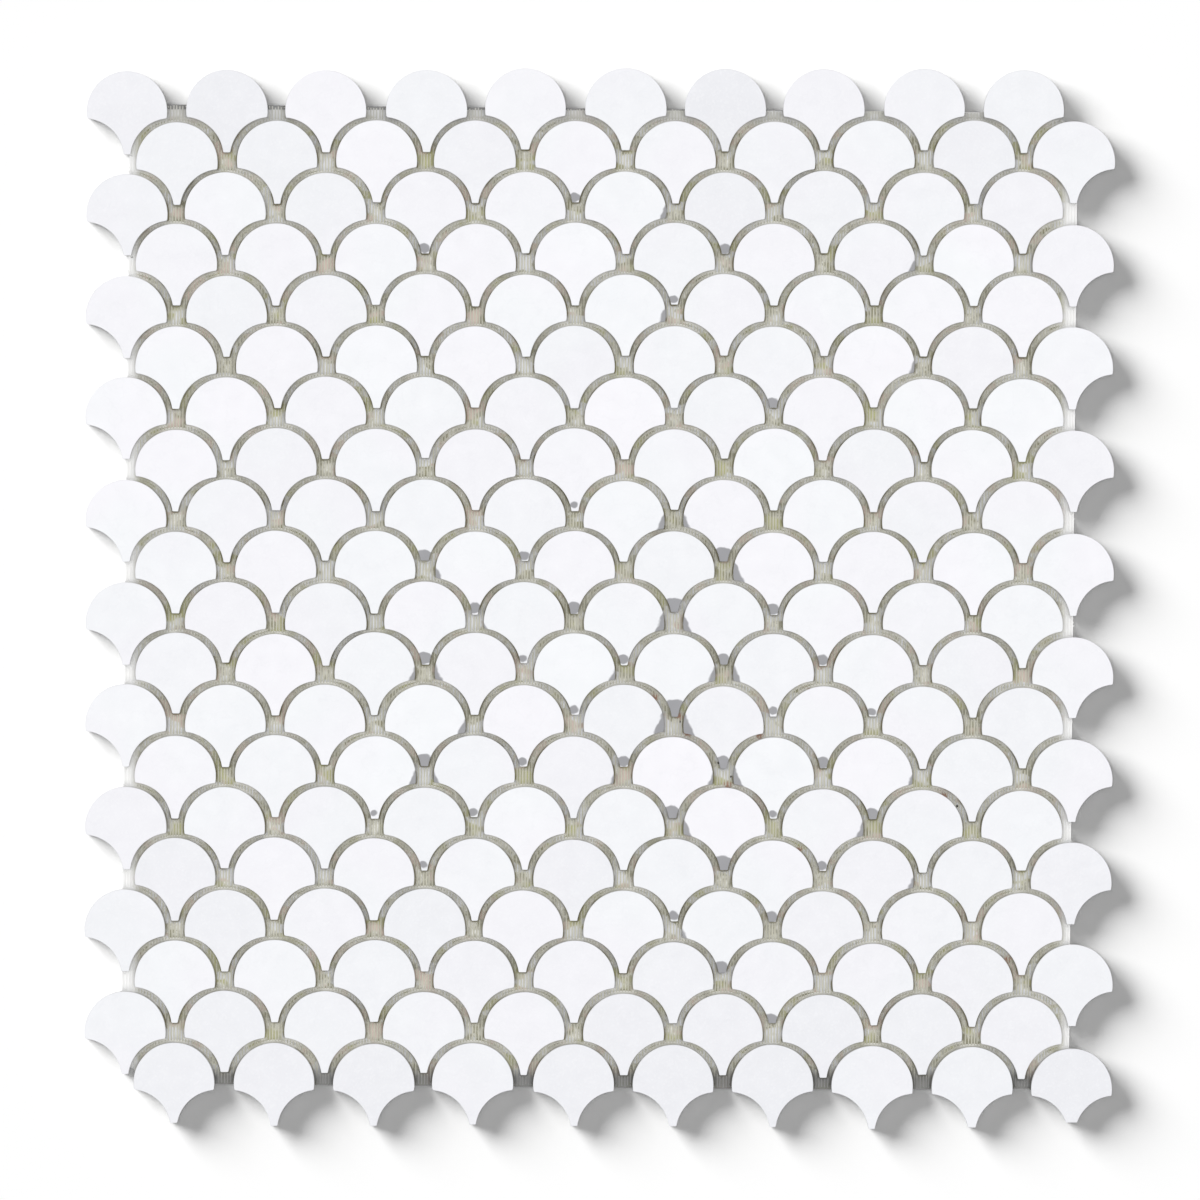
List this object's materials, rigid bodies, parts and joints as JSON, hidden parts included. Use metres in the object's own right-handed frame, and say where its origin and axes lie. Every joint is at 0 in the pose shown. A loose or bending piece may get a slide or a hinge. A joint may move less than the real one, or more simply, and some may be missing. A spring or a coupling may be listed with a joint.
{
  "type": "fish scale mosaic tile sheet",
  "caption": "Rectangular mosaic sheet of interlocking fan-shaped polished white marble chips with open joints, bonded on a woven mesh backing.",
  "frame": {"origin": "middle of the sheet's footprint, on the underside of the mesh backing", "axes": "+Z out of the polished faces, +Y from the feet of the fans towards their crowns, +X along a course"},
  "size_m": [0.309, 0.3182, 0.008],
  "materials": {
    "marble": "polished white marble",
    "mesh": "woven fibreglass mesh filled with adhesive"
  },
  "bodies": {
    "root": {"mesh_backing": "mesh", "tile_row_01": "marble", "tile_row_02": "marble", "tile_row_03": "marble", "tile_row_04": "marble", "tile_row_05": "marble", "tile_row_06": "marble", "tile_row_07": "marble", "tile_row_08": "marble", "tile_row_09": "marble", "tile_row_10": "marble", "tile_row_11": "marble", "tile_row_12": "marble", "tile_row_13": "marble", "tile_row_14": "marble", "tile_row_15": "marble", "tile_row_16": "marble", "tile_row_17": "marble", "tile_row_18": "marble", "tile_row_19": "marble", "tile_row_20": "marble"}
  },
  "joints": []
}
